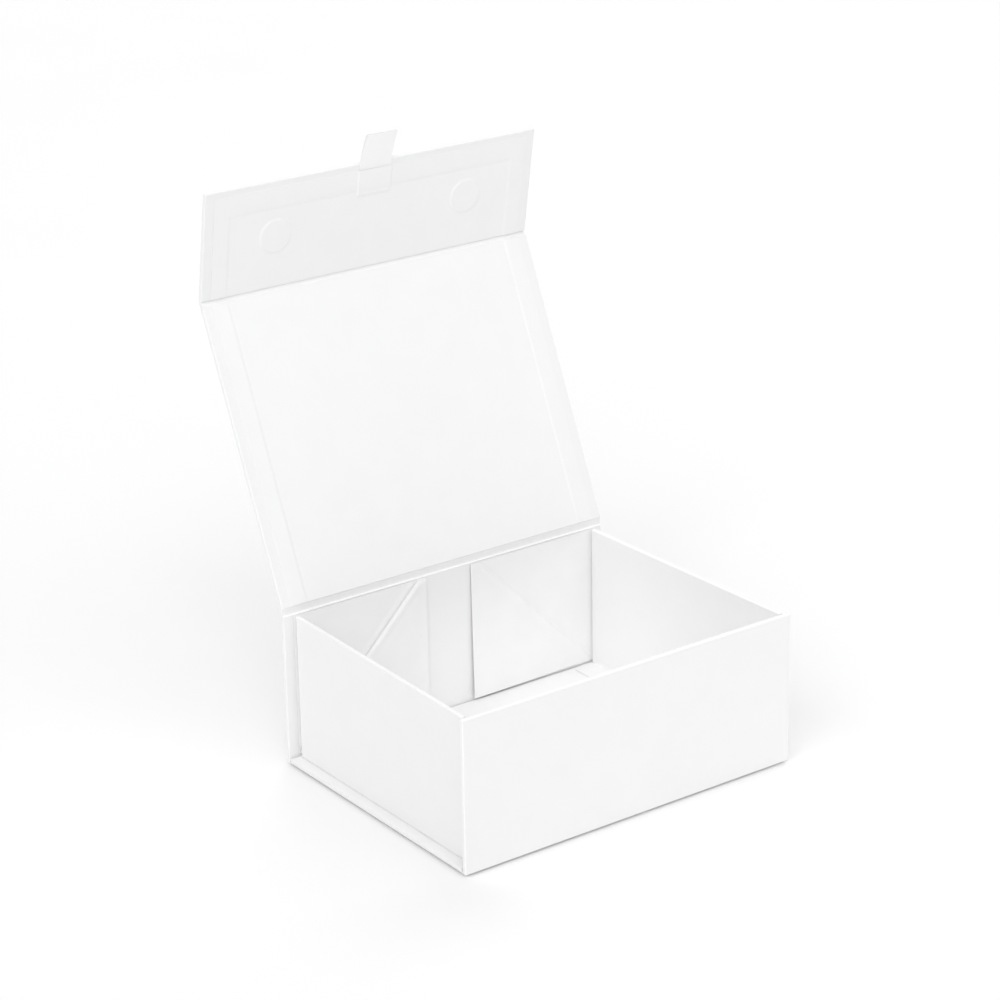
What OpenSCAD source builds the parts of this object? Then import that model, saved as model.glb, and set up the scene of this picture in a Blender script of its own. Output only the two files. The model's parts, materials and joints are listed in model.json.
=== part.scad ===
// Collapsible magnetic gift box: a hinged case of five boards, two side walls that stand
// on its base, and paper gussets that tie the four corners together.
// The origin is the middle of the base's underside, +Y points to the spine and +Z up.
// The lid is drawn open and its closing flap partly folded.

/* [Box] */
// Width of the case, along the spine
box_w = 200; // [170:1:240]
// Depth of the closed tray, from the front wall's outside to the spine's outside
box_d = 155; // [135:1:165]
// Height of the front wall and the spine
box_h = 80; // [60:1:81]

/* [Board and paper] */
// Thickness of the grey board
board_t = 2; // [1.6:0.1:2.4]
// Thickness of one layer of paper with its glue
paper_t = 0.25; // [0.2:0.01:0.3]
// Width of the wrapping paper that is turned in over each free edge
turn_in = 14; // [10:0.5:18]
// Strip of turned-in paper that the liner leaves bare at the sides
liner_margin = 5.5; // [3:0.5:8]
// Strip of turned-in paper that the liner leaves bare at a free end
liner_end_margin = 3.5; // [2:0.5:6]

/* [Lid and flap] */
// How far the lid is open, from closed
lid_open = 114; // [91:0.1:150]
// How far the flap is folded in from the lid's plane
flap_fold = 33.7; // [5:0.1:85]
// Length of the flap, from its crease to its free edge
flap_l = 58.5; // [45:1:62]
// Space between the closed flap and the front wall
flap_gap = 0.8; // [0.7:0.1:1.5]
// Space between the closed lid and the walls under it
lid_gap = 0.3; // [0.2:0.1:0.6]

/* [Side walls] */
// How far each side wall stands in from the case's edge
wall_inset = 5.5; // [4:0.5:9]
// Width of the paper strip that glues a side wall to the base
glue_flap_w = 13; // [8:1:20]

/* [Corner gussets] */
// Thickness of the gusset card
gusset_t = 0.4; // [0.3:0.05:0.5]
// How far a gusset's fixed half runs on past the top of its crease
gusset_reach = 4; // [0:1:10]
// Thickness of the double-sided tape behind a gusset
tape_t = 0.2; // [0.15:0.01:0.25]
// Length of one strip of tape
tape_l = 48; // [30:1:50]
// Width of one strip of tape
tape_w = 12; // [8:1:14]

/* [Magnets] */
// Diameter of each magnet
magnet_d = 18; // [12:1:20]
// Thickness of each magnet
magnet_t = 1.5; // [1:0.1:1.55]
// Distance of each magnet from the middle of the box
magnet_x = 58; // [40:1:70]
// Distance of the flap's magnets from the flap's crease
magnet_y = 28.5; // [24:0.5:30]

/* [Ribbon] */
// Width of the pull ribbon
ribbon_w = 19; // [12:1:25]
// Thickness of the doubled ribbon
ribbon_t = 0.4; // [0.3:0.05:0.5]
// Length of ribbon that is glued under the flap's liner
ribbon_root_l = 17; // [12:1:20]
// Length of ribbon that stands free of the flap
ribbon_free_l = 14.5; // [10:0.5:20]

/* [Hidden] */

fit_gap = 0.05;                         // between papers that meet at a crease
crease_gap = 0.8;                       // from a crease to the board beside it
panel_t = board_t + 3 * paper_t;        // wrap, board, turned-in paper and liner
turned_t = board_t + 2 * paper_t;       // wrap, board and turned-in paper
inner_t = board_t + paper_t;            // wrap and board
sunk_liner_t = 1.6 * paper_t;           // the liner where it lies on the bare board
half_d = box_d / 2;

base_l = box_d - 2 * (panel_t + crease_gap);
upright_z = paper_t + fit_gap;          // foot of the spine and of the front wall
lid_pivot_z = box_h + lid_gap + panel_t;
lid_pivot = [0, half_d, lid_pivot_z];
lid_l = box_d;
lid_crease_l = box_d + flap_gap + panel_t;
flap_pivot = lid_pivot + lid_crease_l * [0, -cos(lid_open), sin(lid_open)];
flap_lean = lid_open - flap_fold;

wall_board_t = board_t;
wall_t = wall_board_t + 2 * paper_t;
wall_outer_x = box_w / 2 - wall_inset;
wall_inner_x = wall_outer_x - wall_t;
wall_foot_z = panel_t + 0.1;
wall_end_gap = 2.2;                     // from a side wall's end to the gusset across it
gusset_face = panel_t + tape_t + gusset_t;
wall_l = box_d - 2 * (gusset_face + wall_end_gap);
wall_h = box_h - wall_foot_z;

gusset_foot_z = panel_t + 0.35;
gusset_top_z = box_h - 0.5;
gusset_l = gusset_top_z - gusset_foot_z;
gusset_crease_gap = 0.3;                // kept open on each side of the gusset's crease

pocket_clearance = 0.2;                 // around a magnet in its punched hole
front_magnet_z = lid_pivot_z - magnet_y;

board_colour = [0.62, 0.60, 0.57];
wrap_colour = [0.95, 0.95, 0.95];
liner_colour = [0.92, 0.92, 0.92];
metal_colour = [0.75, 0.75, 0.77];
tape_colour = [0.90, 0.88, 0.80];
ribbon_colour = [0.98, 0.97, 0.95];

// A case panel lies with its outside on z = 0 and its hinge at y = 0. It runs from
// y = start to y = end, and free_end says that the paper is turned in over y = end.

module slab(half_w, start, end, bottom, top) {
  translate([-half_w, start, bottom]) cube([2 * half_w, end - start, top - bottom]);
}

function board_end(end, free_end) = free_end ? end - paper_t : end;

module panel_board(start, end, free_end = false) {
  slab(box_w / 2 - paper_t, start, board_end(end, free_end), paper_t, inner_t);
}

module panel_window(start, end, free_end, bottom, top) {
  slab(box_w / 2 - turn_in, start, free_end ? end - turn_in : end, bottom, top);
}

module panel_wrap(start, end, free_end = false) {
  difference() {
    slab(box_w / 2, start, end, 0, turned_t);
    slab(box_w / 2 - paper_t, start - 1, board_end(end, free_end) + (free_end ? 0 : 1), paper_t, inner_t);
    panel_window(start - 1, free_end ? end : end + 1, free_end, inner_t - paper_t / 2, turned_t + 1);
  }
}

// The liner lies on the turned-in paper round its edge and is pressed down on the board inside.
module panel_liner(start, end, free_end = false) {
  panel_window(start, end, free_end, inner_t, inner_t + sunk_liner_t);
  difference() {
    slab(box_w / 2 - liner_margin, start, free_end ? end - liner_end_margin : end, turned_t, panel_t);
    panel_window(start - 1, free_end ? end : end + 1, free_end, turned_t - 1, panel_t + 1);
  }
}

module crease_paper(start, end) {
  slab(box_w / 2, start, end, 0, 2 * paper_t);
}

module on_spine() { translate([0, half_d, 0]) rotate([90, 0, 0]) children(); }
module on_front() { translate([0, -half_d, 0]) rotate([90, 0, 180]) children(); }
module on_lid() { translate(lid_pivot) rotate([180 - lid_open, 0, 0]) children(); }
module on_flap() { translate(flap_pivot) rotate([180 - flap_lean, 0, 0]) children(); }
module on_right() { mirror([1, 0, 0]) children(); }
module at_front() { mirror([0, 1, 0]) children(); }
module both_sides() {
  children();
  mirror([1, 0, 0]) children();
}

// Base of the case
module base_board() { color(board_colour) panel_board(-base_l / 2, base_l / 2); }
module base_wrap() { color(wrap_colour) panel_wrap(-base_l / 2, base_l / 2); }
module base_liner() { color(liner_colour) panel_liner(-base_l / 2, base_l / 2); }
module base_spine_hinge_paper() {
  color(wrap_colour) slab(box_w / 2, base_l / 2, half_d, 0, paper_t);
}
module base_front_hinge_paper() {
  color(wrap_colour) at_front() slab(box_w / 2, base_l / 2, half_d, 0, paper_t);
}

// Spine, with the strip of paper that carries the lid
module spine_board() { color(board_colour) on_spine() panel_board(upright_z, box_h); }
module spine_wrap() { color(wrap_colour) on_spine() panel_wrap(upright_z, box_h); }
module spine_liner() { color(liner_colour) on_spine() panel_liner(upright_z, box_h); }
module lid_hinge_paper() { color(wrap_colour) on_spine() crease_paper(box_h, lid_pivot_z - fit_gap); }

// Front wall, with its magnets let into the outside of the board
module magnet_discs(y, bottom, top, diameter) {
  both_sides() translate([magnet_x, y, bottom]) cylinder(h = top - bottom, d = diameter, $fn = 64);
}

module front_board() {
  color(board_colour) on_front() difference() {
    panel_board(upright_z, box_h, true);
    magnet_discs(front_magnet_z, paper_t - 1, paper_t + magnet_t, magnet_d + 2 * pocket_clearance);
  }
}

module front_wrap() { color(wrap_colour) on_front() panel_wrap(upright_z, box_h, true); }
module front_liner() { color(liner_colour) on_front() panel_liner(upright_z, box_h, true); }
module front_magnets() {
  color(metal_colour) on_front() magnet_discs(front_magnet_z, paper_t, paper_t + magnet_t, magnet_d);
}

// Lid, with the strip of paper that carries the flap
module lid_board() { color(board_colour) on_lid() panel_board(crease_gap, lid_l); }
module lid_wrap() { color(wrap_colour) on_lid() panel_wrap(crease_gap, lid_l); }
module lid_liner() { color(liner_colour) on_lid() panel_liner(crease_gap, lid_l); }
module flap_hinge_paper() { color(wrap_colour) on_lid() crease_paper(lid_l, lid_crease_l - fit_gap); }

// Closing flap, with its magnets let into the inside of the board
module flap_board() {
  color(board_colour) on_flap() difference() {
    panel_board(crease_gap, flap_l, true);
    magnet_discs(magnet_y, inner_t - magnet_t, inner_t + 1, magnet_d + 2 * pocket_clearance);
  }
}

module flap_wrap() { color(wrap_colour) on_flap() panel_wrap(crease_gap, flap_l, true); }
module flap_magnets() {
  color(metal_colour) on_flap() magnet_discs(magnet_y, inner_t - magnet_t, inner_t, magnet_d);
}

module ribbon_strip(start, end) { slab(ribbon_w / 2, start, end, turned_t, turned_t + ribbon_t); }

// The flap's liner bulges over the root of the ribbon.
module flap_liner() {
  ribbon_start = flap_l - ribbon_root_l;
  cover_top = turned_t + ribbon_t + paper_t;
  color(liner_colour) on_flap() difference() {
    union() {
      panel_liner(crease_gap, flap_l, true);
      slab(ribbon_w / 2 + 1, ribbon_start - 1, flap_l - liner_end_margin, turned_t, cover_top);
    }
    ribbon_strip(ribbon_start, flap_l + 1);
  }
}

module ribbon_root() { color(ribbon_colour) on_flap() ribbon_strip(flap_l - ribbon_root_l, flap_l); }
module ribbon_tab() {
  color(ribbon_colour) on_flap() ribbon_strip(flap_l + fit_gap, flap_l + ribbon_free_l);
}

// Side walls, each a board with paper glued round it
module wall_block(x, y_half, z, thickness, height) {
  translate([x, -y_half, z]) cube([thickness, 2 * y_half, height]);
}

module left_wall_board() {
  color(board_colour)
    wall_block(paper_t - wall_outer_x, wall_l / 2 - paper_t, wall_foot_z + paper_t,
               wall_board_t, wall_h - 2 * paper_t);
}

module left_wall_wrap() {
  color(wrap_colour) difference() {
    wall_block(-wall_outer_x, wall_l / 2, wall_foot_z, wall_t, wall_h);
    wall_block(paper_t - wall_outer_x, wall_l / 2 - paper_t, wall_foot_z + paper_t,
               wall_board_t, wall_h - 2 * paper_t);
  }
}

module left_glue_flap() {
  color(liner_colour) wall_block(-wall_inner_x, wall_l / 2 - 1, panel_t, glue_flap_w, paper_t);
}

module right_wall_board() { on_right() left_wall_board(); }
module right_wall_wrap() { on_right() left_wall_wrap(); }
module right_glue_flap() { on_right() left_glue_flap(); }

// Corner gussets: a card creased at 45 degrees from the foot of the wall to its top edge.
// The lower half is taped to the upright case panel, and the upper half folds in over it.
module gusset_card(outline) {
  translate([-wall_outer_x, half_d - panel_t - tape_t, gusset_foot_z])
    rotate([90, 0, 0]) linear_extrude(gusset_t) polygon(outline);
}

module gusset_fixed() {
  color(liner_colour)
    gusset_card([
      [gusset_crease_gap, 0], [gusset_l + gusset_reach, 0],
      [gusset_l + gusset_reach, gusset_l], [gusset_l + gusset_crease_gap, gusset_l]
    ]);
}

module gusset_folding() {
  color(liner_colour)
    gusset_card([[0, gusset_crease_gap], [gusset_l - gusset_crease_gap, gusset_l], [0, gusset_l]]);
}

module gusset_tape() {
  tape_x = wall_outer_x - gusset_l - gusset_reach + 4;
  translate([-tape_x - tape_w, half_d - panel_t - tape_t, gusset_foot_z + 4])
    cube([tape_w, tape_t, tape_l]);
}

module rear_left_gusset_fixed() { gusset_fixed(); }
module rear_left_gusset_folding() { gusset_folding(); }
module rear_right_gusset_fixed() { on_right() gusset_fixed(); }
module rear_right_gusset_folding() { on_right() gusset_folding(); }
module front_left_gusset_fixed() { at_front() gusset_fixed(); }
module front_left_gusset_folding() { at_front() gusset_folding(); }
module front_right_gusset_fixed() { at_front() on_right() gusset_fixed(); }
module front_right_gusset_folding() { at_front() on_right() gusset_folding(); }
module rear_gusset_tapes() { color(tape_colour) both_sides() gusset_tape(); }
module front_gusset_tapes() { color(tape_colour) at_front() both_sides() gusset_tape(); }

base_board();
base_wrap();
base_liner();
spine_board();
spine_wrap();
spine_liner();
front_board();
front_wrap();
front_liner();
lid_board();
lid_wrap();
lid_liner();
flap_board();
flap_wrap();
flap_liner();
base_spine_hinge_paper();
base_front_hinge_paper();
lid_hinge_paper();
flap_hinge_paper();
left_wall_board();
left_wall_wrap();
left_glue_flap();
right_wall_board();
right_wall_wrap();
right_glue_flap();
rear_left_gusset_fixed();
rear_left_gusset_folding();
rear_right_gusset_fixed();
rear_right_gusset_folding();
front_left_gusset_fixed();
front_left_gusset_folding();
front_right_gusset_fixed();
front_right_gusset_folding();
rear_gusset_tapes();
front_gusset_tapes();
flap_magnets();
front_magnets();
ribbon_root();
ribbon_tab();
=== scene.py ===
"""Collapsible magnetic gift box of white paper over grey board, open on a pale studio floor.

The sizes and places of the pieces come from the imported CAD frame, and the small sizes below shape
their surfaces. A case panel has its own frame: x runs across the box, y away from the panel's
hinge, and z from its outside to its inside.
"""

import json
import math

import bmesh
import bpy
import numpy as np
from mathutils import Matrix, Vector


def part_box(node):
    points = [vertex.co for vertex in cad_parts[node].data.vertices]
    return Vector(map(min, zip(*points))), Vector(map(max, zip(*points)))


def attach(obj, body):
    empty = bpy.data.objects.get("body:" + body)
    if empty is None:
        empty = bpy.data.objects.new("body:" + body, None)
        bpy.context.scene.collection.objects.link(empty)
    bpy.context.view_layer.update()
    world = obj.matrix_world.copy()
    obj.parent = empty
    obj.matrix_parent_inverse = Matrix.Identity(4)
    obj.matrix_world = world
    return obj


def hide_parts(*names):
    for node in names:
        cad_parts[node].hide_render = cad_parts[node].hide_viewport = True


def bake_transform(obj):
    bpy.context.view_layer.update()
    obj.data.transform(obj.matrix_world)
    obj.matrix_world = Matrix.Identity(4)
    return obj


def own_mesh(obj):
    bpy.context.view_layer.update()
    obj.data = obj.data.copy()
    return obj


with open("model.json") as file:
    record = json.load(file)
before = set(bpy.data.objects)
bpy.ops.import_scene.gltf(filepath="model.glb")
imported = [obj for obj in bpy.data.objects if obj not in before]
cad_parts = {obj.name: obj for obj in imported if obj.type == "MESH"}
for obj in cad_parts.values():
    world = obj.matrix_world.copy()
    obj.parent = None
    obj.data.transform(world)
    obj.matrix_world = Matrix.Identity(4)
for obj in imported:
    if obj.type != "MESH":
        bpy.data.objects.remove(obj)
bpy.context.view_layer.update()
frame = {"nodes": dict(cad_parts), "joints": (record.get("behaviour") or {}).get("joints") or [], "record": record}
nodes = frame["nodes"]
joints = {joint["name"]: joint for joint in frame["joints"]}

MM = 0.001
PAPER = 0.25 * MM            # thickness of the wrapping paper
THIN_PAPER = PAPER * 0.8     # thickness of the liners, the glue strips and the creases' papers
STRIP_LIFT = PAPER * 0.9     # how far the glue strips lie above the liner
EDGE_RADIUS = 0.5 * MM       # rounding of the paper over a board's edge
LINER_STEP = 0.25 * MM       # drop of the liner inside the turned-in paper
LINER_SLOPE = 1.2 * MM       # width of that drop
BEND_DEPTH = 1.2 * MM        # depth in the boards at which the lid's and flap's creases bend
WALL_FLARE = 3.5 * MM        # how far a side wall's front top corner leans out
FRONT_GAP = 0.4 * MM         # from a side wall's end to its front gusset
REAR_GAP = {"left": 2.0 * MM, "right": 1.3 * MM}     # from a side wall's end to its rear gusset
FLOOR_DROP = 1.4 * MM        # the box stands on the slack of its paper

STANDS_ACROSS = 1.0          # radians between two faces whose shared edge is rounded
NARROW_FACE = 4 * MM         # a face narrower than this lies along a board's edge
SHARP_ANGLE = math.radians(38)

# How much each panel's and each side wall's edges are painted lighter: partly worn paper, partly a painted
# highlight along the edges.
PANEL_WEAR_AND_HIGHLIGHT = {"base": 0.1, "spine": 0.1, "lid": 0.15, "front": 0.4, "flap": 0.0}
WALL_WEAR_AND_HIGHLIGHT = 0.4
FREE_ENDS = ("front", "flap")        # the panels at the two ends of the case

# A corner's gusset: how far each half bows, how deep its crease dips, and how far the foot of
# its free edge lifts.
GUSSETS = {
    ("rear", "left"): (0.8 * MM, 0.6 * MM, 0.5 * MM),
    ("rear", "right"): (0.9 * MM, 0.18 * MM, 1.3 * MM),
    ("front", "left"): (0.6 * MM, 0.3 * MM, 0.9 * MM),
    ("front", "right"): (0.7 * MM, 0.25 * MM, 0.7 * MM),
}


# ---------------------------------------------------------------- frames

def hinge_frame(joint_name, turn):
    """A panel's frame at a hinge along X, turned by that many degrees from lying flat."""
    place = Matrix.Translation(joints[joint_name]["pos_m"])
    return place @ Matrix.Rotation(math.radians(turn), 4, "X")


LID_OPEN = -joints["lid_hinge"]["range_deg"][0]
FLAP_LEAN = LID_OPEN - joints["flap_hinge"]["range_deg"][1]
HALF_TURN = Matrix.Rotation(math.pi, 4, "Z")
PANELS = {
    "base": Matrix.Identity(4),
    "spine": hinge_frame("spine_fold", 90),
    "front": HALF_TURN @ hinge_frame("spine_fold", 90),
    "lid": hinge_frame("lid_hinge", 180 - LID_OPEN),
    "flap": hinge_frame("flap_hinge", 180 - FLAP_LEAN),
}
PANEL_BODY = {"base": "base", "spine": "spine", "front": "front_wall", "lid": "lid", "flap": "flap"}


def local_points(node, matrix):
    """The points of a CAD node in a frame of its own, one row each."""
    inverse = matrix.inverted()
    return np.array([inverse @ v.co for v in nodes[node].data.vertices])


def local_box(node, matrix):
    points = local_points(node, matrix)
    return points.min(0), points.max(0)


def step(value):
    """A smooth step from 0 to 1 as value goes from 0 to 1."""
    t = np.clip(value, 0, 1)
    return t * t * (3 - 2 * t)


HALF_WIDTH, _, TURNED = local_box("lid_wrap", PANELS["lid"])[1]   # TURNED: the turned-in paper's z
WINDOW_X = np.abs(local_points("lid_wrap", PANELS["lid"])[:, 0]).min()
TURN_IN = HALF_WIDTH - WINDOW_X
LINER_X = local_box("lid_liner", PANELS["lid"])[1][0]
SLOPE_SPAN = (WINDOW_X - LINER_SLOPE - 0.3 * MM, WINDOW_X + 0.3 * MM)    # the liner's drop


# ---------------------------------------------------------------- mesh helpers

def new_object(name, mesh):
    piece = bpy.data.objects.new(name, mesh)
    bpy.context.scene.collection.objects.link(piece)
    return piece


def object_from_bmesh(name, bm):
    mesh = bpy.data.meshes.new(name)
    bm.to_mesh(mesh)
    bm.free()
    return new_object(name, mesh)


def grid_object(name, points, matrix=None, flip=False):
    """A sheet through a grid of points, which is an array of rows x columns x 3."""
    rows, columns = points.shape[:2]
    flat = points.reshape(-1, 3)
    if matrix is not None:
        turn = np.array(matrix.to_3x3())
        flat = flat @ turn.T + np.array(matrix.translation)
    index = np.arange(rows * columns).reshape(rows, columns)
    quads = np.stack([index[:-1, :-1], index[:-1, 1:], index[1:, 1:], index[1:, :-1]], axis=-1)
    quads = quads.reshape(-1, 4)
    if flip:
        quads = quads[:, ::-1]
    mesh = bpy.data.meshes.new(name)
    mesh.from_pydata(flat.tolist(), [], quads.tolist())
    mesh.update()
    return new_object(name, mesh)


def thicken(piece, thickness, offset=-1.0):
    """Gives a sheet its thickness: with offset -1 behind its face, with 0 on both sides."""
    modifier = piece.modifiers.new("Thickness", "SOLIDIFY")
    modifier.thickness = thickness
    modifier.offset = offset
    modifier.use_even_offset = True
    settle(piece)


def settle(piece):
    """Applies the modifiers, and shades smooth between sharp edges."""
    graph = bpy.context.evaluated_depsgraph_get()
    mesh = bpy.data.meshes.new_from_object(piece.evaluated_get(graph))
    piece.modifiers.clear()
    piece.data = mesh
    shade(mesh)


def shade(mesh):
    mesh.polygons.foreach_set("use_smooth", [True] * len(mesh.polygons))
    mesh.set_sharp_from_angle(angle=SHARP_ANGLE)


def weigh_normals(piece):
    """Keeps the large flat faces flat beside their rounded edges."""
    modifier = piece.modifiers.new("Normals", "WEIGHTED_NORMAL")
    modifier.keep_sharp = True
    modifier.weight = 90


def weld(piece):
    """Joins the points of a mesh that coincide."""
    bm = bmesh.new()
    bm.from_mesh(piece.data)
    bmesh.ops.remove_doubles(bm, verts=bm.verts, dist=0.001 * MM)
    bm.to_mesh(piece.data)
    bm.free()


def join_into(piece, others):
    """Adds the meshes of the other objects to the piece, and removes those objects."""
    bm = bmesh.new()
    bm.from_mesh(piece.data)
    for other in others:
        other.data.transform(piece.matrix_world.inverted() @ other.matrix_world)
        bm.from_mesh(other.data)
        bpy.data.objects.remove(other)
    bm.to_mesh(piece.data)
    bm.free()
    shade(piece.data)


def stations(start, end, coarse, spans=(), fine=0.4 * MM):
    """Places from start to end a coarse step apart, and a fine step apart inside the spans.
    Places that almost coincide are left out."""
    parts = [np.linspace(start, end, max(2, int(round((end - start) / coarse)) + 1))]
    for low, high in spans:
        low, high = max(low, start), min(high, end)
        if high > low:
            parts.append(np.linspace(low, high, int(math.ceil((high - low) / fine)) + 1))
    values = np.sort(np.concatenate(parts))
    keep = np.concatenate([[True], np.diff(values) > fine * 0.3])
    values = values[keep]
    values[-1] = end
    return values


def mirrored(spans):
    return [(-high, -low) for low, high in spans] + list(spans)


def declare(piece, body, slot, *replaced):
    """The piece rides on that body and stands for those CAD nodes, which are hidden. The slot is not used."""
    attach(piece, body)
    if replaced:
        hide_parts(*replaced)


def declare_bent(piece, first, second, start, end, slot, *replaced):
    """The first and second bodies, start, end and the slot are not used: the piece's place is baked into its mesh,
    and the CAD nodes it replaces are hidden.
    """
    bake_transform(piece)
    if replaced:
        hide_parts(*replaced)


# ---------------------------------------------------------------- materials

class Nodes:
    """A material's node tree, with one short call for each kind of node it needs."""

    def __init__(self, name):
        self.material = bpy.data.materials.new(name)
        self.material.use_nodes = True
        self.tree = self.material.node_tree
        self.shader = self.tree.nodes["Principled BSDF"]

    def add(self, kind, **inputs):
        node = self.tree.nodes.new(kind)
        for key, value in inputs.items():
            node.inputs[key].default_value = value
        return node

    def link(self, source, target):
        self.tree.links.new(source, target)

    def noise(self, where, scale, detail=4.0, roughness=0.6):
        node = self.add("ShaderNodeTexNoise", Scale=scale, Detail=detail, Roughness=roughness)
        self.link(where, node.inputs["Vector"])
        return node.outputs["Fac"]

    def between(self, fac, low, high, from_low=0.3, from_high=0.7):
        """The factor's range from_low to from_high, spread over low to high."""
        node = self.tree.nodes.new("ShaderNodeMapRange")
        node.inputs["From Min"].default_value = from_low
        node.inputs["From Max"].default_value = from_high
        node.inputs["To Min"].default_value = low
        node.inputs["To Max"].default_value = high
        self.link(fac, node.inputs["Value"])
        return node.outputs["Result"]

    def math(self, operation, first, second):
        node = self.tree.nodes.new("ShaderNodeMath")
        node.operation = operation
        for socket, value in zip(node.inputs, (first, second)):
            if isinstance(value, (int, float)):
                socket.default_value = value
            else:
                self.link(value, socket)
        return node.outputs["Value"]

    def mix(self, fac, first, second):
        node = self.tree.nodes.new("ShaderNodeMix")
        node.data_type = "RGBA"
        self.link(fac, node.inputs["Factor"])
        colours = [socket for socket in node.inputs if socket.type == "RGBA"]
        for socket, value in zip(colours, (first, second)):
            if isinstance(value, tuple):
                socket.default_value = (*value, 1)
            else:
                self.link(value, socket)
        return next(socket for socket in node.outputs if socket.type == "RGBA")

    def bump(self, height, distance, strength=1.0, after=None):
        node = self.add("ShaderNodeBump", Strength=strength, Distance=distance)
        self.link(height, node.inputs["Height"])
        if after is not None:
            self.link(after, node.inputs["Normal"])
        return node.outputs["Normal"]

    def place(self, output="Object", scale=(1, 1, 1)):
        where = self.tree.nodes.new("ShaderNodeTexCoord").outputs[output]
        mapping = self.add("ShaderNodeMapping", Scale=scale)
        self.link(where, mapping.inputs["Vector"])
        return mapping.outputs["Vector"]

    def attribute(self, name):
        node = self.tree.nodes.new("ShaderNodeAttribute")
        node.attribute_name = name
        return node.outputs["Fac"]

    def finish(self, colour, roughness, normal):
        self.link(colour, self.shader.inputs["Base Color"])
        self.link(roughness, self.shader.inputs["Roughness"])
        self.link(normal, self.shader.inputs["Normal"])
        return self.material


def paper_material(name, pale, deep, roughness, tooth):
    """Uncoated white paper: cloudy formation, fine fibres, and paler where "edge" marks the board's edges, partly
    worn paper and partly a painted highlight.
    """
    m = Nodes(name)
    where = m.place()
    cloud = m.noise(where, 70, detail=3.0, roughness=0.5)
    fibre = m.noise(m.place(scale=(1, 1, 0.45)), 1500, detail=5.0, roughness=0.7)
    speck = m.noise(where, 420, detail=2.0, roughness=0.5)
    base = m.mix(m.between(cloud, 0, 1), pale, deep)
    base = m.mix(m.between(fibre, 0.0, 0.45), base, deep)
    # Where "edge" marks them, the edges are painted lighter: partly worn paper, partly a painted highlight.
    wear_and_highlight_mask = m.math("MULTIPLY", m.attribute("edge"), m.between(speck, 0.55, 1.0))
    worn_and_highlit = tuple(min(0.99, channel * 1.11) for channel in pale)
    colour = m.mix(wear_and_highlight_mask, base, worn_and_highlit)
    rough = m.between(fibre, roughness - 0.06, roughness + 0.08)
    rough = m.math("ADD", rough, m.math("MULTIPLY", wear_and_highlight_mask, 0.1))
    coarse = m.bump(speck, 0.02 * MM, tooth)
    fine = m.bump(fibre, 0.03 * MM, tooth, coarse)
    m.shader.inputs["Specular IOR Level"].default_value = 0.35
    m.shader.inputs["Sheen Weight"].default_value = 0.06
    m.shader.inputs["Sheen Roughness"].default_value = 0.6
    return m.finish(colour, rough, fine)


def board_material():
    """Recycled grey board with darker flecks and long fibres."""
    m = Nodes("grey_board")
    where = m.place()
    fleck = m.noise(where, 1100, detail=3.0, roughness=0.75)
    fibre = m.noise(m.place(scale=(0.3, 1, 1)), 700, detail=5.0, roughness=0.7)
    base = m.mix(m.between(fibre, 0, 1), (0.40, 0.37, 0.33), (0.50, 0.47, 0.43))
    colour = m.mix(m.between(fleck, 0, 1, from_low=0.6, from_high=0.72), base, (0.22, 0.20, 0.19))
    rough = m.between(fibre, 0.82, 0.96)
    return m.finish(colour, rough, m.bump(fibre, 0.06 * MM, 0.8))


def tape_material():
    """Double-sided tissue tape, faintly yellow, with small trapped bubbles."""
    m = Nodes("adhesive_tape")
    where = m.place()
    bubble = m.noise(where, 650, detail=2.0, roughness=0.5)
    tissue = m.noise(where, 180, detail=4.0, roughness=0.6)
    base = m.mix(m.between(tissue, 0, 1), (0.76, 0.73, 0.62), (0.82, 0.80, 0.72))
    colour = m.mix(m.between(bubble, 0, 1, from_low=0.62, from_high=0.7), base, (0.88, 0.87, 0.82))
    rough = m.between(bubble, 0.28, 0.45)
    return m.finish(colour, rough, m.bump(bubble, 0.04 * MM, 0.6))


def magnet_material():
    """Nickel plate over a pressed magnet, with turned scratches and dull spots."""
    m = Nodes("magnet_metal")
    scratch = m.noise(m.place(scale=(1, 8, 1)), 900, detail=4.0, roughness=0.6)
    spot = m.noise(m.place(), 260, detail=3.0, roughness=0.6)
    colour = m.mix(m.between(spot, 0, 1), (0.60, 0.59, 0.57), (0.70, 0.69, 0.67))
    rough = m.between(scratch, 0.2, 0.42)
    m.shader.inputs["Metallic"].default_value = 1.0
    return m.finish(colour, rough, m.bump(scratch, 0.01 * MM, 0.4))


def ribbon_material():
    """White satin ribbon: fine ribs across it and warp threads along it."""
    m = Nodes("ribbon_cloth")
    where = m.place("UV")
    split = m.tree.nodes.new("ShaderNodeSeparateXYZ")
    m.link(where, split.inputs["Vector"])
    across, along = split.outputs["X"], split.outputs["Y"]
    rib_pitch, warp_pitch = 0.42 * MM, 0.30 * MM
    rib = m.math("SINE", m.math("MULTIPLY", along, math.tau / rib_pitch), 0)
    warp = m.math("SINE", m.math("MULTIPLY", across, math.tau / warp_pitch), 0)
    weave = m.math("MULTIPLY", m.math("ADD", rib, 1.0), m.math("ADD", warp, 1.6))
    slub = m.noise(where, 900, detail=4.0, roughness=0.6)
    weave = m.math("ADD", weave, m.math("MULTIPLY", slub, 1.5))
    # The higher threads of the weave are painted lighter, a painted highlight on the ribs.
    raised_thread_highlight = m.between(weave, 0, 1, from_low=0.0, from_high=6.0)
    colour = m.mix(raised_thread_highlight, (0.93, 0.93, 0.928), (0.975, 0.975, 0.974))
    rough = m.between(slub, 0.34, 0.5)
    m.shader.inputs["Sheen Weight"].default_value = 0.2
    m.shader.inputs["Sheen Roughness"].default_value = 0.4
    return m.finish(colour, rough, m.bump(weave, 0.02 * MM, 0.5))


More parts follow.
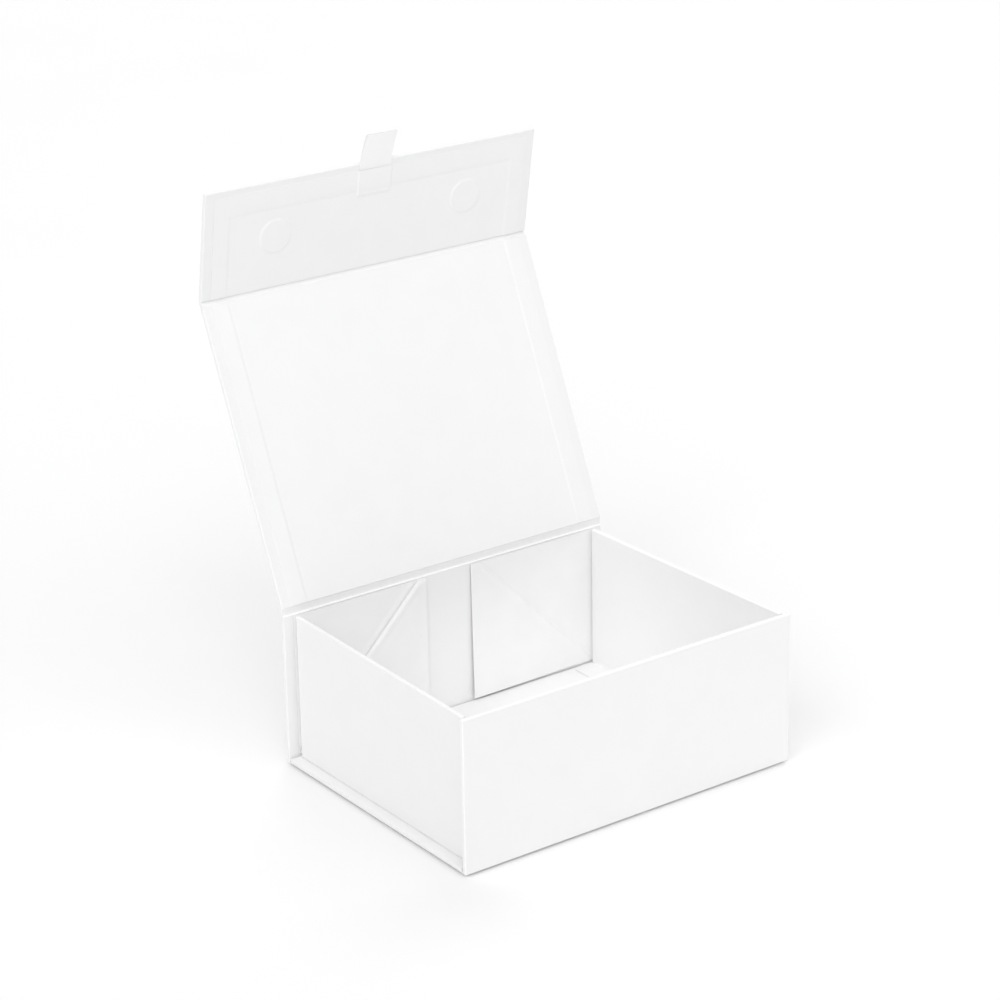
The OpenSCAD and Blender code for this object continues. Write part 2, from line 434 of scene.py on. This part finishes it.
WRAP = paper_material("wrap_paper", (0.892, 0.892, 0.894), (0.880, 0.880, 0.882), 0.50, 0.35)
LINER = paper_material("liner_paper", (0.907, 0.907, 0.909), (0.894, 0.894, 0.896), 0.62, 0.5)
GUSSET = paper_material("gusset_card", (0.925, 0.925, 0.926), (0.902, 0.902, 0.904), 0.6, 0.5)
RIBBON = ribbon_material()
CAD_MATERIALS = {
    "grey_board": board_material(),
    "adhesive_tape": tape_material(),
    "magnet_metal": magnet_material(),
    "wrap_paper": WRAP,
    "liner_paper": LINER,
    "gusset_card": GUSSET,
    "ribbon_cloth": RIBBON,
}


def dress_cad_nodes():
    """The CAD nodes that stay, such as the boards and the magnets, get the same finishes."""
    for subpart in frame["record"]["subparts"]:
        node = nodes[subpart["node"]]
        node.data.materials.clear()
        node.data.materials.append(CAD_MATERIALS[subpart["material_slot"]])


# ---------------------------------------------------------------- case panels

def add_faces(bm, corners, faces):
    """Adds the named corners, and the faces that are spelled by their names."""
    made = {key: bm.verts.new(place) for key, place in corners.items()}
    for face in faces:
        bm.faces.new([made[key] for key in face])


def round_edges(bm, radius, wear_and_highlight):
    """Rounds every edge between two faces that stand across each other, and marks the narrow faces
    that this leaves along the board's edges, to be painted lighter: partly worn, partly a painted highlight."""
    bm.normal_update()
    shared = [edge for edge in bm.edges if len(edge.link_faces) == 2]
    across = [edge for edge in shared if edge.calc_face_angle() > STANDS_ACROSS]
    bmesh.ops.bevel(bm, geom=across, offset=radius, segments=3, profile=0.5, affect="EDGES")
    edge_layer = bm.loops.layers.float.new("edge")
    for face in bm.faces:
        longest = max(edge.calc_length() for edge in face.edges)
        if face.calc_area() < NARROW_FACE * longest:
            for loop in face.loops:
                loop[edge_layer] = wear_and_highlight


def panel_shell(half, start, end, depth, window_end, free_end, wear_and_highlight):
    """The wrapping paper of a board: outside, edges and the strips turned in on the inside."""
    bm = bmesh.new()
    corners = {
        "a": (-half, start, 0), "b": (half, start, 0), "c": (half, end, 0), "d": (-half, end, 0),
        "e": (-half, start, depth), "f": (-WINDOW_X, start, depth),
        "g": (WINDOW_X, start, depth), "h": (half, start, depth),
        "i": (-WINDOW_X, window_end, depth), "j": (WINDOW_X, window_end, depth),
        "k": (half, end, depth), "l": (-half, end, depth),
    }
    faces = ["adcb", "aeld", "bckh", "efil", "ghkj"]
    if free_end:
        faces += ["dlkc", "ijkl"]
    add_faces(bm, corners, faces)
    round_edges(bm, EDGE_RADIUS, wear_and_highlight)
    return bm


def corner_laps(name, half, end, depth, window_end):
    """At a free end the end's paper laps over the sides' paper, mitred at the corners."""
    lap = 0.09 * MM
    reach = EDGE_RADIUS * 0.9
    outer, inner = half - reach, WINDOW_X - LINER_SLOPE
    rows = []
    for share in np.linspace(0, 1, 5):
        y = end - reach - share * (end - reach - window_end)
        edge = outer + share * (inner - outer)
        rows.append([(x, y, depth + lap) for x in np.linspace(-edge, edge, 9)])
    piece = grid_object(name, np.array(rows), flip=True)
    thicken(piece, lap * 0.9)
    return piece


def make_cover(name, wear_and_highlight):
    """A panel's wrapping, its edges painted lighter by the given amount: partly worn paper, partly a painted
    highlight.
    """
    matrix = PANELS[name]
    free_end = name in FREE_ENDS
    low, high = local_box(f"{name}_wrap", matrix)
    half, start, end, depth = high[0], low[1], high[1], high[2]
    window_end = end - TURN_IN if free_end else end
    shell = panel_shell(half, start, end, depth, window_end, free_end, wear_and_highlight)
    cover = object_from_bmesh(f"{name}_cover", shell)
    thicken(cover, PAPER)
    if free_end:
        join_into(cover, [corner_laps("laps", half, end, depth, window_end)])
    cover.data.transform(matrix)
    cover.data.materials.append(WRAP)
    weigh_normals(cover)
    declare(cover, PANEL_BODY[name], "wrap_paper", f"{name}_wrap")


def liner_rise(x):
    """Height of the liner's face over the turned-in paper, across the panel."""
    return LINER_STEP * (1 - step((WINDOW_X - np.abs(x)) / LINER_SLOPE))


def make_liner(name, relief=None, spans_x=(), spans_y=()):
    """The sheet glued inside a panel. It sinks from the turned-in paper on to the board. What
    lies under it shows as a relief, whose mesh is fine inside the spans."""
    matrix = PANELS[name]
    free_end = name in FREE_ENDS
    low, high = local_box(f"{name}_liner", matrix)
    half, start, end = high[0], low[1], high[1]
    across = stations(-half, half, 4 * MM, mirrored([SLOPE_SPAN]) + list(spans_x))
    window_end = local_box(f"{name}_wrap", matrix)[1][1] - TURN_IN
    ends = [(window_end - LINER_SLOPE, window_end)] if free_end else []
    along = stations(start, end, 4 * MM, ends + list(spans_y))
    x, y = np.meshgrid(across, along)
    height = liner_rise(x)
    if free_end:
        on_paper = step((y - window_end + LINER_SLOPE) / LINER_SLOPE)
        height = np.maximum(height, LINER_STEP * on_paper)
    if relief is not None:
        height = height + relief(x, y)
    liner = grid_object(f"{name}_lining", np.dstack([x, y, TURNED + height]), matrix)
    thicken(liner, THIN_PAPER)
    liner.data.materials.append(LINER)
    declare(liner, PANEL_BODY[name], "liner_paper", f"{name}_liner")


def rim(inside, width, outside):
    """From 0 to 1 across an edge, over that width, of which so much lies outside the edge."""
    return step((inside + outside) / width)


def flap_relief():
    """What shows through the flap's liner: two magnets and the root of the ribbon."""
    low, high = local_box("flap_magnets", PANELS["flap"])
    centre_y = (low[1] + high[1]) / 2
    radius = (high[1] - low[1]) / 2
    centre_x = high[0] - radius
    root_low, root_high = local_box("ribbon_root", PANELS["flap"])
    ribbon_rise = 1.3 * (root_high[2] - root_low[2])
    magnet_rise = 0.42 * MM

    def relief(x, y):
        from_centre = np.hypot(np.abs(x) - centre_x, y - centre_y)
        disc = rim(radius - from_centre, 1.3 * MM, 0.8 * MM)
        side = rim(root_high[0] - np.abs(x), 1.5 * MM, 1.35 * MM)
        foot = rim(y - root_low[1], 2.4 * MM, 1.92 * MM)
        return magnet_rise * disc + ribbon_rise * side * foot

    reach = radius + 2.5 * MM
    spans_x = mirrored([(centre_x - reach, centre_x + reach)])
    spans_x += mirrored([(root_high[0] - 2 * MM, root_high[0] + 2 * MM)])
    spans_y = [(centre_y - reach, centre_y + reach)]
    spans_y += [(root_low[1] - 2.5 * MM, root_low[1] + 2.5 * MM)]
    return relief, spans_x, spans_y


# ---------------------------------------------------------------- creases of the case

def section(points, rounds=3):
    """A path through points (frame, y, z, lift), its corners cut smooth. Each row of the result
    holds a place and the way that the place rises under the liner."""
    rows = []
    for name, y, z, lift in points:
        matrix = PANELS[name]
        place = matrix @ Vector((0, y, z))
        rise = matrix.to_3x3() @ Vector((0, 0, lift))
        rows.append([*place, *rise])
    rows = np.array(rows)
    for _ in range(rounds):
        first = rows[:-1] * 0.75 + rows[1:] * 0.25
        second = rows[:-1] * 0.25 + rows[1:] * 0.75
        cut = np.stack([first, second], axis=1).reshape(-1, 6)
        rows = np.vstack([rows[:1], cut[1:-1], rows[-1:]])
    return rows


def crease_stations():
    """Places across a crease, which ends just inside the case's rounded sides."""
    liner_end = (LINER_X - 0.5 * MM, LINER_X + 0.5 * MM)
    low = -HALF_WIDTH + 0.12 * MM
    return stations(low, -low, 8 * MM, mirrored([SLOPE_SPAN, liner_end]), 0.3 * MM)


def crease_rise(x):
    """The liner ends short of the sides, where only the turned-in paper crosses the crease."""
    return liner_rise(x) * (np.abs(x) <= LINER_X)


def section_grid(rows, across):
    """The section's rows carried along X."""
    rise = crease_rise(across)
    place = rows[:, None, :3] + rows[:, None, 3:] * rise[None, :, None]
    place[:, :, 0] += across[None, :]
    return place


def closed_crease(name, outside, inside, worn_and_highlit=()):
    """A solid strip between two panels: the outside paper below and the liner's valley above.
    It is painted lighter where it comes over the edges of the given panels: partly worn paper, partly a painted
    highlight."""
    rows = np.vstack([section(outside), section(inside)[::-1]])
    rows = np.vstack([rows, rows[:1]])
    piece = grid_object(name, section_grid(rows, crease_stations()))
    weld(piece)
    bm = bmesh.new()
    bm.from_mesh(piece.data)
    rims = [edge for edge in bm.edges if edge.is_boundary]
    bmesh.ops.holes_fill(bm, edges=rims, sides=0)
    bmesh.ops.recalc_face_normals(bm, faces=bm.faces)
    if worn_and_highlit:
        mark_worn_highlit_edges(bm, worn_and_highlit)
    bm.to_mesh(piece.data)
    bm.free()
    shade(piece.data)
    piece.data.materials.append(WRAP)
    return piece


def mark_worn_highlit_edges(bm, names):
    """Marks the paper where it comes over the inner edge of the panels beside a crease, to be painted lighter:
    partly worn paper, partly a painted highlight.
    """
    edge_layer = bm.verts.layers.float.new("edge")
    for name in names:
        inverse = PANELS[name].inverted()
        for vertex in bm.verts:
            if (inverse @ vertex.co).z > TURNED - 0.5 * MM:
                vertex[edge_layer] = 1.0


def sheet_crease(name, points, flip, turned=False):
    """A single layer of paper round the foot of an upright panel. Turned, it is at the front."""
    grid = section_grid(section(points), crease_stations())
    piece = grid_object(name, grid, HALF_TURN if turned else None, flip=flip)
    thicken(piece, THIN_PAPER)
    piece.data.materials.append(WRAP)
    return piece


def make_lid_crease():
    """The crease between the spine and the lid."""
    top = local_box("spine_wrap", PANELS["spine"])[1][1]
    pivot = joints["lid_hinge"]["pos_m"][2]
    start = local_box("lid_wrap", PANELS["lid"])[0][1]
    outside = [
        ("spine", top, 0, 0), ("spine", top + 0.5 * MM, 0.05 * MM, 0),
        ("spine", (top + pivot) / 2, 0.3 * MM, 0),
        ("lid", start - 0.5 * MM, 0.1 * MM, 0), ("lid", start, 0, 0),
    ]
    inside = [
        ("spine", top, TURNED, 1), ("spine", top + 0.25 * MM, TURNED, 0.8),
        ("spine", top + 0.6 * MM, 1.8 * MM, 0),
        ("spine", (top + pivot) / 2, 1.6 * MM, 0),
        ("lid", -0.3 * MM, 1.65 * MM, 0),
        ("lid", start - 0.4 * MM, 1.85 * MM, 0),
        ("lid", start - 0.15 * MM, TURNED, 0.8), ("lid", start, TURNED, 1),
    ]
    # The paper over the spine's and the lid's inner edges is painted lighter: partly worn paper, partly a painted
    # highlight.
    piece = closed_crease("lid_crease", outside, inside, worn_and_highlit=("spine", "lid"))
    begin = PANELS["spine"] @ Vector((0, top + 0.2 * MM, BEND_DEPTH))
    finish = PANELS["lid"] @ Vector((0, start - 0.1 * MM, BEND_DEPTH))
    declare_bent(piece, "spine", "lid", begin, finish, "wrap_paper", "lid_hinge_paper")


def make_flap_crease():
    """The crease between the lid and the closing flap."""
    end = local_box("lid_wrap", PANELS["lid"])[1][1]
    start = local_box("flap_wrap", PANELS["flap"])[0][1]
    outside = [
        ("lid", end, 0, 0), ("lid", end + 0.6 * MM, 0.05 * MM, 0),
        ("lid", end + 1.8 * MM, 0.3 * MM, 0),
        ("flap", start - 0.6 * MM, 0.05 * MM, 0), ("flap", start, 0, 0),
    ]
    inside = [
        ("lid", end, TURNED, 1), ("lid", end + 0.35 * MM, TURNED, 0.8),
        ("lid", end + 0.9 * MM, 1.9 * MM, 0.2),
        ("lid", end + 1.7 * MM, 1.5 * MM, 0),
        ("flap", start - 0.5 * MM, 1.5 * MM, 0),
        ("flap", start - 0.2 * MM, TURNED, 0.8), ("flap", start, TURNED, 1),
    ]
    piece = closed_crease("flap_crease", outside, inside)
    begin = PANELS["lid"] @ Vector((0, end + 0.1 * MM, BEND_DEPTH))
    finish = PANELS["flap"] @ Vector((0, start - 0.1 * MM, BEND_DEPTH))
    declare_bent(piece, "lid", "flap", begin, finish, "wrap_paper", "flap_hinge_paper")


def make_foot_creases():
    """The paper round the feet of the spine and of the front wall, outside and inside."""
    end = local_box("base_wrap", PANELS["base"])[1][1]
    pivot = joints["spine_fold"]["pos_m"][1]
    foot = local_box("spine_wrap", PANELS["spine"])[0][1]
    outside = [
        ("base", end, 0, 0), ("base", pivot - 0.5 * MM, 0, 0), ("base", pivot, 0, 0),
        ("spine", foot * 0.6, 0, 0), ("spine", foot, 0, 0),
    ]
    inside = [
        ("base", end, TURNED, 1), ("base", end + 0.1 * MM, TURNED, 0.8),
        ("base", end + 0.15 * MM, 0.6 * MM, 0), ("base", end + 0.5 * MM, 0.5 * MM, 0),
        ("spine", foot + 0.2 * MM, TURNED + 0.1 * MM, 0.6), ("spine", foot + 0.3 * MM, TURNED, 1),
    ]
    sides = (("rear", "spine", "base_spine_hinge_paper", False, 1),
             ("front", "front_wall", "base_front_hinge_paper", True, -1))
    for where, body, node, turned, sign in sides:
        outer = sheet_crease(f"{where}_foot_crease", outside, True, turned)
        declare_bent(outer, "base", body, (0, sign * (pivot - 0.7 * MM), 0),
                     (0, sign * pivot, 0), "wrap_paper", node)
        inner = sheet_crease(f"{where}_foot_valley", inside, False, turned)
        declare_bent(inner, "base", body, (0, sign * (end + 0.2 * MM), 0),
                     (0, sign * (end + 0.75 * MM), 0), "liner_paper")


# ---------------------------------------------------------------- side walls

def inward(side):
    """+1 where the box's inside lies towards +X, at the left wall."""
    return 1 if side == "left" else -1


def flared(side, place):
    """A wall stands upright at the rear, and its top leans out towards the front."""
    low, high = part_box(f"{side}_wall_wrap")
    up = (place.z - low[2]) / (high[2] - low[2])
    ahead = (high[1] - place.y) / (high[1] - low[1])
    return place - Vector((inward(side) * WALL_FLARE * max(up, 0) * ahead, 0, 0))


def wall_block(name, low, high, radius=0):
    """A block between two corners, cut across so that it can lean with the wall. With a radius
    its edges are rounded and painted lighter: partly worn paper, partly a painted highlight."""
    bm = bmesh.new()
    bmesh.ops.create_cube(bm, size=1)
    size, centre = high - low, (high + low) / 2
    stretch = Matrix.Translation(centre) @ Matrix.Diagonal((*size, 1))
    bmesh.ops.transform(bm, verts=bm.verts, matrix=stretch)
    if radius:
        round_edges(bm, radius, WALL_WEAR_AND_HIGHLIGHT)
    for axis, count in ((1, 12), (2, 8)):
        for share in np.linspace(0, 1, count + 1)[1:-1]:
            normal = Vector((0, 0, 0))
            normal[axis] = 1
            place = low + (high - low) * share
            parts = list(bm.verts) + list(bm.edges) + list(bm.faces)
            bmesh.ops.bisect_plane(bm, geom=parts, plane_co=place, plane_no=normal)
    return object_from_bmesh(name, bm)


def make_wall(side):
    """A side wall's wrapping and its board. The wrapping reaches towards the gussets."""
    low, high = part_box(f"{side}_wall_wrap")
    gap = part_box("rear_left_gusset_folding")[0][1] - high[1]
    at_front = Vector((0, gap - FRONT_GAP, 0))
    at_rear = Vector((0, gap - REAR_GAP[side], 0))
    cover = wall_block(f"{side}_wall_cover", low - at_front, high + at_rear, EDGE_RADIUS)
    thicken(cover, PAPER)
    board = wall_block(f"{side}_wall_core", *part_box(f"{side}_wall_board"))
    shade(board.data)
    for piece, slot, node in ((cover, "wrap_paper", "wrap"), (board, "grey_board", "board")):
        for vertex in piece.data.vertices:
            vertex.co = flared(side, vertex.co)
        piece.data.materials.append(CAD_MATERIALS[slot])
        declare(piece, f"{side}_wall", slot, f"{side}_wall_{node}")
    weigh_normals(cover)


def make_glue_flap(side):
    """The strip that glues a wall's foot to the base, its free edge a little lifted."""
    low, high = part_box(f"{side}_glue_flap")
    across = stations(low[0], high[0], 1.5 * MM, mirrored([(WINDOW_X - 2 * MM, WINDOW_X)]))
    along = np.linspace(low[1], high[1], 60)
    x, y = np.meshgrid(across, along)
    free = high[0] if side == "left" else low[0]
    lifted_width, short_wave, long_wave = 2.5 * MM, 19 * MM, 47 * MM
    near_edge = step(1 - np.abs(x - free) / lifted_width)
    wave = 0.5 + 0.5 * np.sin(y / short_wave + 1.3) * np.cos(y / long_wave)
    height = TURNED + liner_rise(x) + STRIP_LIFT + near_edge * (0.15 + 0.25 * wave) * MM
    piece = grid_object(f"{side}_glue_strip", np.dstack([x, y, height]))
    thicken(piece, THIN_PAPER)
    piece.data.materials.append(LINER)
    declare(piece, "base", "liner_paper", f"{side}_glue_flap")


def make_wall_foot(side):
    """The crease between a wall and its glue strip: a narrow paper that runs down the wall,
    round a quarter turn and on over the strip."""
    low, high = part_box(f"{side}_wall_wrap")
    face = high[0] if side == "left" else low[0]
    strip_top = TURNED + LINER_STEP + STRIP_LIFT
    sign = inward(side)
    turn = np.linspace(0, math.pi / 2, 8)
    radius = 0.7 * MM
    off_wall, off_strip = 0.1 * MM, 0.05 * MM
    x = face + sign * (off_wall + radius * (1 - np.cos(turn)))
    z = strip_top + off_strip + radius * (1 - np.sin(turn))
    x = np.concatenate([[face + sign * off_wall], x, [face + sign * 2.0 * MM]])
    z = np.concatenate([[strip_top + 2.2 * MM], z, [strip_top + off_strip]])
    along = np.linspace(low[1] + MM, high[1] - MM, 30)
    y, x = np.meshgrid(along, x)
    z = np.repeat(z[:, None], len(along), 1)
    piece = grid_object(f"{side}_wall_foot", np.dstack([x, y, z]))
    thicken(piece, PAPER * 0.4, 0)
    piece.data.materials.append(LINER)
    start = (face + sign * 1.2 * MM, 0, strip_top)
    end = (face, 0, strip_top + 1.2 * MM)
    declare_bent(piece, "base", f"{side}_wall", start, end, "liner_paper")


# ---------------------------------------------------------------- corner gussets

def gusset_relief(a, b, size, bow, crease, lift):
    """How far a gusset's card stands off, with a along its foot and b up. The card dips at its
    crease, each half bows by itself, and the foot of the free edge lifts from the panel."""
    away = np.abs(a - b) / math.sqrt(2)
    dip_width, shoulder_place, shoulder_width = 0.8 * MM, 2.2 * MM, 1.6 * MM
    dip = -crease * np.exp(-((away / dip_width) ** 2))
    shoulder = 0.55 * crease * np.exp(-(((away - shoulder_place) / shoulder_width) ** 2))
    inside = np.abs(a - b) * (size - np.maximum(a, b)) * np.minimum(a, b)
    belly = bow * 27 * np.maximum(inside, 0) / size ** 3       # inside is at most size ** 3 / 27
    lifted_length = 60 * MM
    foot = np.clip(1 - b / size, 0, 1) * np.clip(1 - (size - a) / lifted_length, 0, 1)
    return dip + shoulder + belly + lift * foot


def triangle_grid(size, reach, upper, count=44):
    """Rows of (a, b) over one half of the card, from its crease to the far edges. The lower
    half runs on by reach past the top of the crease."""
    shares = np.linspace(0, 1, count) ** 1.6
    places = np.linspace(0, size, 50)
    if not upper:
        places = np.append(places, size + reach)
    first = np.repeat(places[:, None], count, 1)
    second = np.minimum(places, size)[:, None] * (1 - shares[None, :])
    grid = np.dstack([first, second])
    return grid[:, :, ::-1] if upper else grid


def make_gusset(where, side, bow, crease, lift):
    """A card across one corner: the half fixed to the upright panel and the folding half.
    Both bow, as the box stands open."""
    name = f"{where}_{side}_gusset"
    low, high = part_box(f"{name}_fixed")
    fold_low, fold_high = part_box(f"{name}_folding")
    sign_x = inward(side)
    sign_y = 1 if where == "rear" else -1
    corner_x = fold_low[0] if side == "left" else fold_high[0]
    face_y = low[1] if where == "rear" else high[1]
    foot = low[2] + 0.7 * MM
    size = fold_high[2] - foot
    free_x = high[0] if side == "left" else low[0]
    reach = abs(free_x - corner_x) - size
    card = (high[1] - low[1]) * 0.8
    body = "spine" if where == "rear" else "front_wall"
    for half, upper, owner in (("fixed", False, body), ("folding", True, name)):
        grid = triangle_grid(size, reach, upper)
        a, b = grid[:, :, 0], grid[:, :, 1]
        out = gusset_relief(a, b, size, bow, crease, 0 if upper else lift)
        place = np.dstack([corner_x + sign_x * a, face_y - sign_y * out, foot + b])
        piece = grid_object(f"{name}_{half}_card", place, flip=(sign_x * sign_y < 0) != upper)
        weld(piece)
        thicken(piece, card)
        piece.data.materials.append(GUSSET)
        declare(piece, owner, "gusset_card", f"{name}_{half}")
        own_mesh(piece)


# ---------------------------------------------------------------- ribbon

def ribbon_layer(name, layer, lean, drift, curl):
    """One layer of the doubled ribbon, from its root under the liner to its free end. Beyond
    the flap's edge it leans in by lean degrees, drifts sideways by drift, is drawn in at its
    left border, cups and waves across, and its left corner curls forward by curl."""
    root_low, root_high = local_box("ribbon_root", PANELS["flap"])
    tab_high = local_box("ribbon_tab", PANELS["flap"])[1]
    half, edge = root_high[0], root_high[1]
    root, free = edge - root_low[1], tab_high[1] - edge
    thickness = (root_high[2] - root_low[2]) * 0.42
    distance = np.linspace(0, root + free, 90)
    across = np.linspace(-half, half, 40)
    bend_start, bend_length = root - MM, 5 * MM
    angle = math.radians(lean) * step((distance - bend_start) / bend_length)
    spacing = np.diff(distance, prepend=0)
    run = np.cumsum(spacing * np.cos(angle))
    rise = np.cumsum(spacing * np.sin(angle))
    x, _ = np.meshgrid(across, distance)
    out = np.clip((distance - root) / free, 0, 1)[:, None]
    corner = out ** 2 * (1 - x / half) / 2
    drawn_in, cup, wave = 0.9 * MM, 0.3 * MM, 0.1 * MM
    level = root_low[2] + (layer * 1.15 + 0.5) * thickness
    hollow = -cup * out * (x / half) ** 2 + wave * out * (np.sin(x / half * 2.1) - 1)
    place = np.dstack([
        x + drift * out ** 1.2 + drawn_in * corner,
        root_low[1] + run[:, None] - 0.35 * curl * corner,
        level + rise[:, None] + hollow + curl * corner,
    ])
    piece = grid_object(name, place, PANELS["flap"])
    uv = piece.data.uv_layers.new(name="weave")
    flat_x, flat_y = x.reshape(-1), np.repeat(distance, len(across))
    for loop in piece.data.loops:
        uv.data[loop.index].uv = (flat_x[loop.vertex_index], flat_y[loop.vertex_index])
    thicken(piece, thickness, 0)
    piece.data.materials.append(RIBBON)
    start = PANELS["flap"] @ Vector((0, edge - 0.3 * MM, root_low[2]))
    end = PANELS["flap"] @ Vector((0, edge + 1.2 * MM, root_low[2]))
    replaced = ("ribbon_root", "ribbon_tab") if layer else ()
    declare_bent(piece, "flap", "ribbon", start, end, "ribbon_cloth", *replaced)


# ---------------------------------------------------------------- studio

# The camera that was fitted to the box's corners
CAMERA_TARGET = Vector((-0.07568, -0.07657, 0.18296))
CAMERA_DISTANCE = 1.40912
CAMERA_AZIMUTH = 35.903      # the view's heading, from +Y towards +X
CAMERA_ELEVATION = 21.244
CAMERA_ROLL = -0.999
CAMERA_LENS = 112.165
SENSOR_WIDTH = 36
FLOOR_REACH = 9.0            # metres from the box to the floor's edges


def make_camera():
    """The camera at the photograph's place, turned about its own axis by the roll."""
    azimuth, elevation, roll = np.radians((CAMERA_AZIMUTH, CAMERA_ELEVATION, CAMERA_ROLL)).tolist()
    ahead = Vector((
        math.sin(azimuth) * math.cos(elevation),
        math.cos(azimuth) * math.cos(elevation),
        -math.sin(elevation),
    ))
    right = Vector((math.cos(azimuth), -math.sin(azimuth), 0))
    up = right.cross(ahead)
    turned_right = right * math.cos(roll) + up * math.sin(roll)
    turned_up = up * math.cos(roll) - right * math.sin(roll)
    data = bpy.data.cameras.new("photo_view")
    data.lens = CAMERA_LENS
    data.sensor_width = SENSOR_WIDTH
    camera = new_object("photo_view", data)
    turn = Matrix((turned_right, turned_up, -ahead)).transposed().to_4x4()
    camera.matrix_world = Matrix.Translation(CAMERA_TARGET - ahead * CAMERA_DISTANCE) @ turn
    bpy.context.scene.camera = camera


def make_floor():
    """A plain pale floor, a little below the box's lowest paper."""
    m = Nodes("studio_floor")
    cloud = m.noise(m.place(), 6, detail=3.0, roughness=0.5)
    colour = m.mix(m.between(cloud, 0, 1), (0.945, 0.945, 0.945), (0.95, 0.95, 0.95))
    rough = m.between(cloud, 0.6, 0.7)
    m.finish(colour, rough, m.bump(m.noise(m.place(), 500), 0.01 * MM, 0.2))
    ends = (-FLOOR_REACH, FLOOR_REACH)
    corners = [[(x, y, -FLOOR_DROP) for x in ends] for y in ends]
    floor = grid_object("studio_floor", np.array(corners))
    floor.data.materials.append(m.material)


# Soft boxes, each far enough away to light the whole floor evenly:
# name: (azimuth, elevation, width across the sky in degrees, strength)
LIGHTS = {
    "left": (-90, 40, 45, 0.70),
    "front_left": (-45, 40, 45, 0.97),
    "front": (0, 40, 45, 0.50),
    "front_right": (45, 40, 45, 0.34),
    "back_right": (135, 45, 45, 0.77),
    "top": (0, 89, 50, 0.27),
}
LIGHT_DISTANCE = 3
WORLD_STRENGTH = 0.3


def make_lights():
    """Azimuth 0 stands in front of the box, and 90 at its right."""
    for name, (azimuth, elevation, width, strength) in LIGHTS.items():
        a, e = math.radians(azimuth), math.radians(elevation)
        way = Vector((math.sin(a) * math.cos(e), -math.cos(a) * math.cos(e), math.sin(e)))
        data = bpy.data.lights.new(name, "SUN")
        data.energy = strength
        data.angle = math.radians(width)
        light = new_object(name, data)
        light.location = way * LIGHT_DISTANCE
        light.rotation_euler = way.to_track_quat("Z", "Y").to_euler()
    world = bpy.data.worlds.new("studio")
    world.use_nodes = True
    background = world.node_tree.nodes["Background"]
    background.inputs["Color"].default_value = (1, 1, 1, 1)
    background.inputs["Strength"].default_value = WORLD_STRENGTH
    bpy.context.scene.world = world
    bpy.context.scene.view_settings.view_transform = "Standard"


# ---------------------------------------------------------------- the whole scene

def make_box():
    """The case panels and their linings, the creases, the side walls, the gussets and the ribbon."""
    for name, wear_and_highlight in PANEL_WEAR_AND_HIGHLIGHT.items():
        make_cover(name, wear_and_highlight)
    for name in ("base", "spine", "lid", "front"):
        make_liner(name)
    make_liner("flap", *flap_relief())
    make_lid_crease()
    make_flap_crease()
    make_foot_creases()
    for side in ("left", "right"):
        make_wall(side)
        make_glue_flap(side)
        make_wall_foot(side)
    for (where, side), shape in GUSSETS.items():
        make_gusset(where, side, *shape)
    ribbon_layer("ribbon_back_layer", 0, -5, 2.9 * MM, 0)
    ribbon_layer("ribbon_front_layer", 1, -4, 3.4 * MM, 0.2 * MM)


dress_cad_nodes()
make_box()
make_floor()
make_lights()
make_camera()
